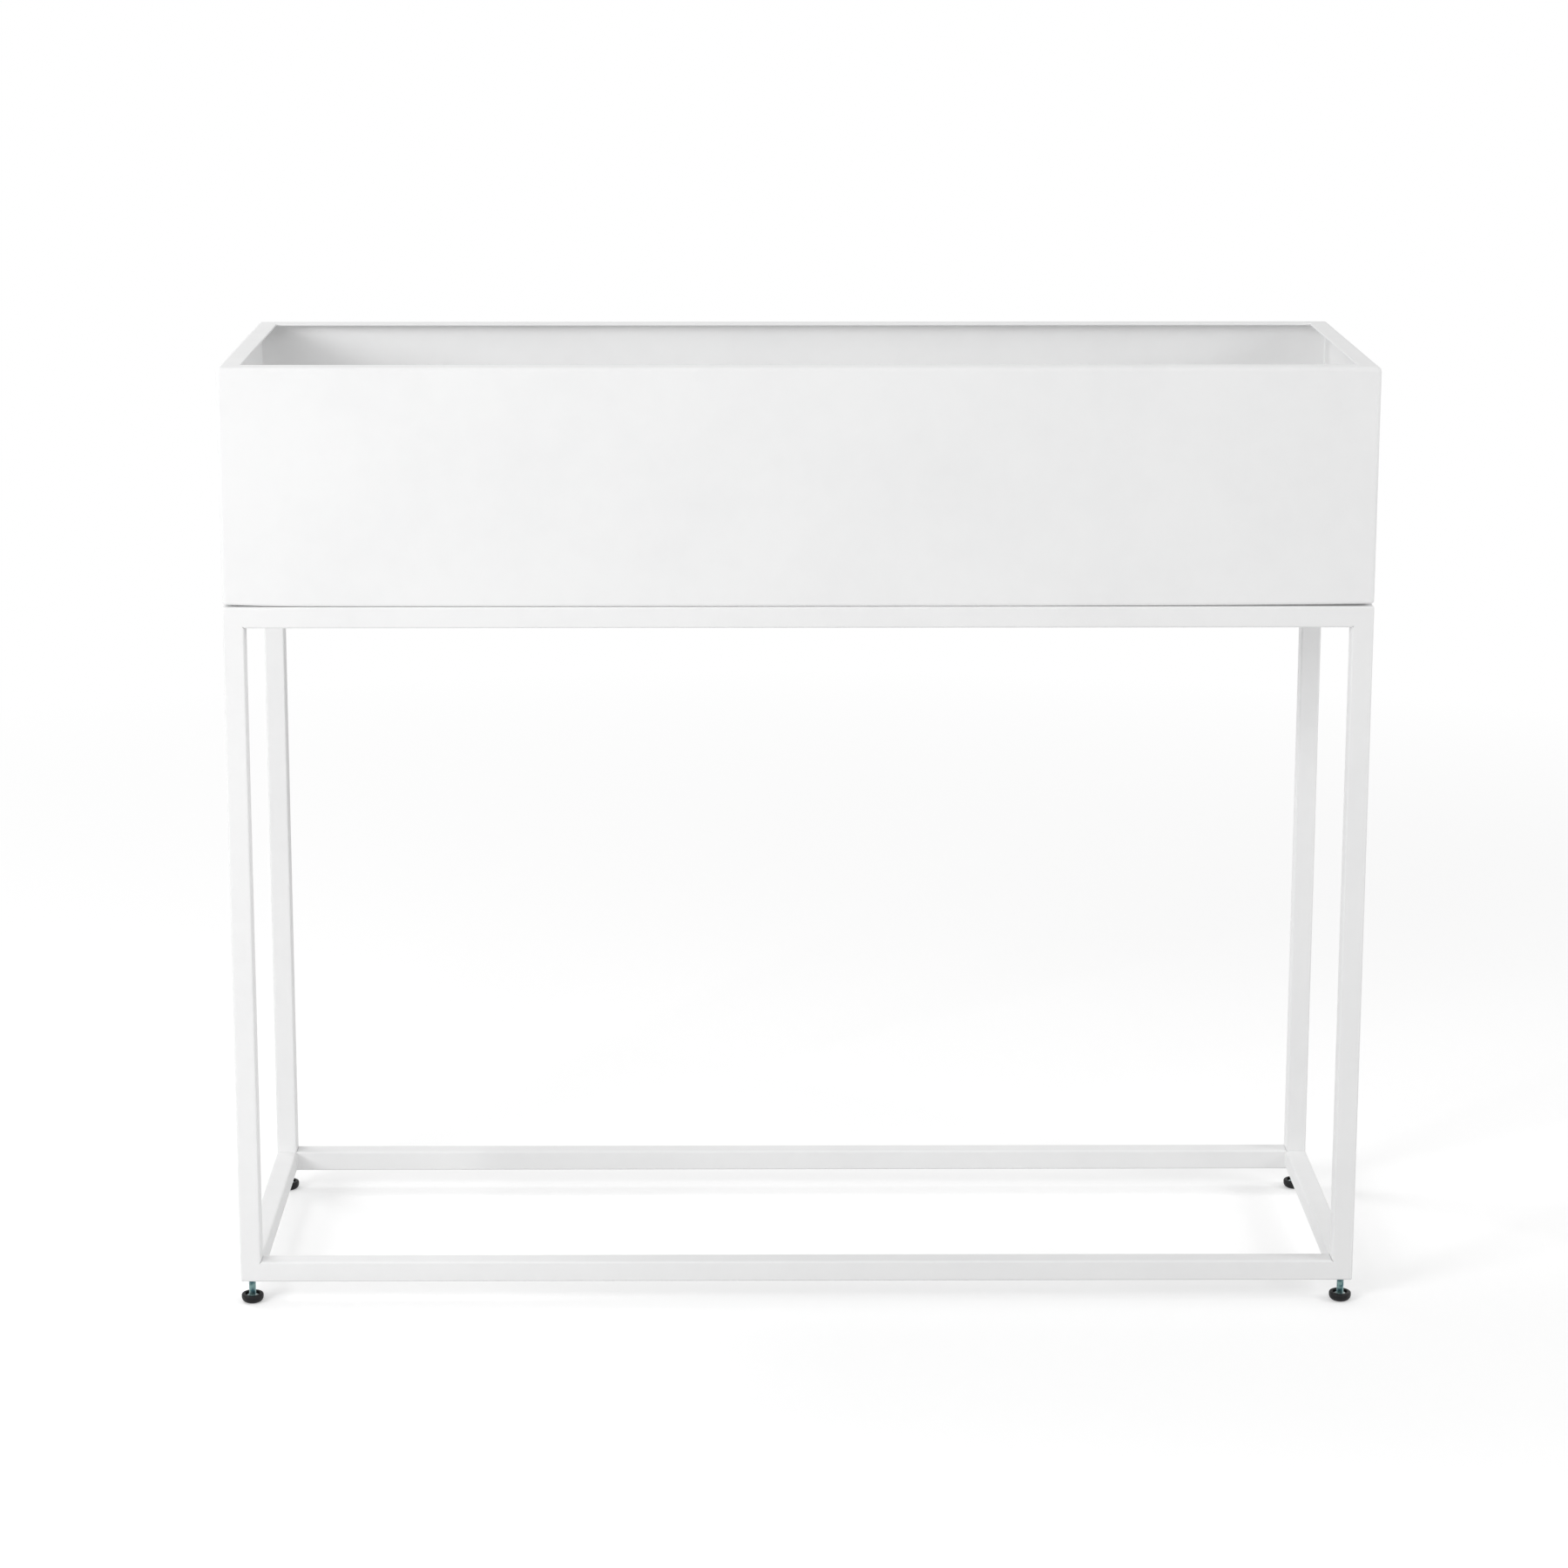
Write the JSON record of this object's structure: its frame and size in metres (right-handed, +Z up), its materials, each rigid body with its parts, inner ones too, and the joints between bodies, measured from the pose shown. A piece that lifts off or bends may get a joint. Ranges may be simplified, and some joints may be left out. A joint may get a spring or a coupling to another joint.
{
  "type": "planter box on stand",
  "caption": "Rectangular folded-sheet planter box, open on top, held just above a slim welded tube stand with screw-in levelling feet.",
  "frame": {"origin": "on the floor, under the middle of the planter", "axes": "+X along the length to the right, -Y out of the front, +Z up"},
  "size_m": [0.8008, 0.2508, 0.6797],
  "materials": {
    "powder_coat": "white fine-texture powder coat, satin",
    "zinc": "bright zinc plate, bluish",
    "black_plastic": "black moulded plastic, slight sheen"
  },
  "bodies": {
    "planter": {"stand_front_top_rail": "powder_coat", "stand_front_bottom_rail": "powder_coat", "stand_back_top_rail": "powder_coat", "stand_back_bottom_rail": "powder_coat", "stand_left_top_rail": "powder_coat", "stand_left_bottom_rail": "powder_coat", "stand_right_top_rail": "powder_coat", "stand_right_bottom_rail": "powder_coat", "leg_front_left": "powder_coat", "leg_front_right": "powder_coat", "leg_back_left": "powder_coat", "leg_back_right": "powder_coat", "box_front_wall": "powder_coat", "box_back_wall": "powder_coat", "box_left_wall": "powder_coat", "box_right_wall": "powder_coat", "box_floor": "powder_coat", "rivet_nut_front_left": "zinc", "rivet_nut_front_right": "zinc", "rivet_nut_back_left": "zinc", "rivet_nut_back_right": "zinc", "box_screw_front_left": "zinc", "box_screw_front_right": "zinc", "box_screw_back_left": "zinc", "box_screw_back_right": "zinc", "weld_nut_front_left": "zinc", "weld_nut_front_right": "zinc", "weld_nut_back_left": "zinc", "weld_nut_back_right": "zinc"},
    "foot_base_front_left": {"foot_base_front_left": "black_plastic"},
    "foot_stud_front_left": {"foot_stud_front_left": "zinc"},
    "foot_base_front_right": {"foot_base_front_right": "black_plastic"},
    "foot_stud_front_right": {"foot_stud_front_right": "zinc"},
    "foot_base_back_left": {"foot_base_back_left": "black_plastic"},
    "foot_stud_back_left": {"foot_stud_back_left": "zinc"},
    "foot_base_back_right": {"foot_base_back_right": "black_plastic"},
    "foot_stud_back_right": {"foot_stud_back_right": "zinc"}
  },
  "joints": [
    {"name": "foot_height_front_left", "type": "slide", "parent": "planter", "child": "foot_base_front_left", "axis": [0, 0, 1], "range_m": [-0.01, 0.01]},
    {"name": "foot_turn_front_left", "type": "hinge", "parent": "foot_base_front_left", "child": "foot_stud_front_left", "pos_m": [-0.3925, -0.1175, 0], "axis": [0, 0, 1], "range_deg": [-4500, 4500]},
    {"name": "foot_height_front_right", "type": "slide", "parent": "planter", "child": "foot_base_front_right", "axis": [0, 0, 1], "range_m": [-0.01, 0.01]},
    {"name": "foot_turn_front_right", "type": "hinge", "parent": "foot_base_front_right", "child": "foot_stud_front_right", "pos_m": [0.3925, -0.1175, 0], "axis": [0, 0, 1], "range_deg": [-4500, 4500]},
    {"name": "foot_height_back_left", "type": "slide", "parent": "planter", "child": "foot_base_back_left", "axis": [0, 0, 1], "range_m": [-0.01, 0.01]},
    {"name": "foot_turn_back_left", "type": "hinge", "parent": "foot_base_back_left", "child": "foot_stud_back_left", "pos_m": [-0.3925, 0.1175, 0], "axis": [0, 0, 1], "range_deg": [-4500, 4500]},
    {"name": "foot_height_back_right", "type": "slide", "parent": "planter", "child": "foot_base_back_right", "axis": [0, 0, 1], "range_m": [-0.01, 0.01]},
    {"name": "foot_turn_back_right", "type": "hinge", "parent": "foot_base_back_right", "child": "foot_stud_back_right", "pos_m": [0.3925, 0.1175, 0], "axis": [0, 0, 1], "range_deg": [-4500, 4500]}
  ],
  "couplings": [
    {"joint": "foot_turn_front_left", "follows": "foot_height_front_left", "rad_per_m": 7854},
    {"joint": "foot_turn_front_right", "follows": "foot_height_front_right", "rad_per_m": 7854},
    {"joint": "foot_turn_back_left", "follows": "foot_height_back_left", "rad_per_m": 7854},
    {"joint": "foot_turn_back_right", "follows": "foot_height_back_right", "rad_per_m": 7854}
  ]
}
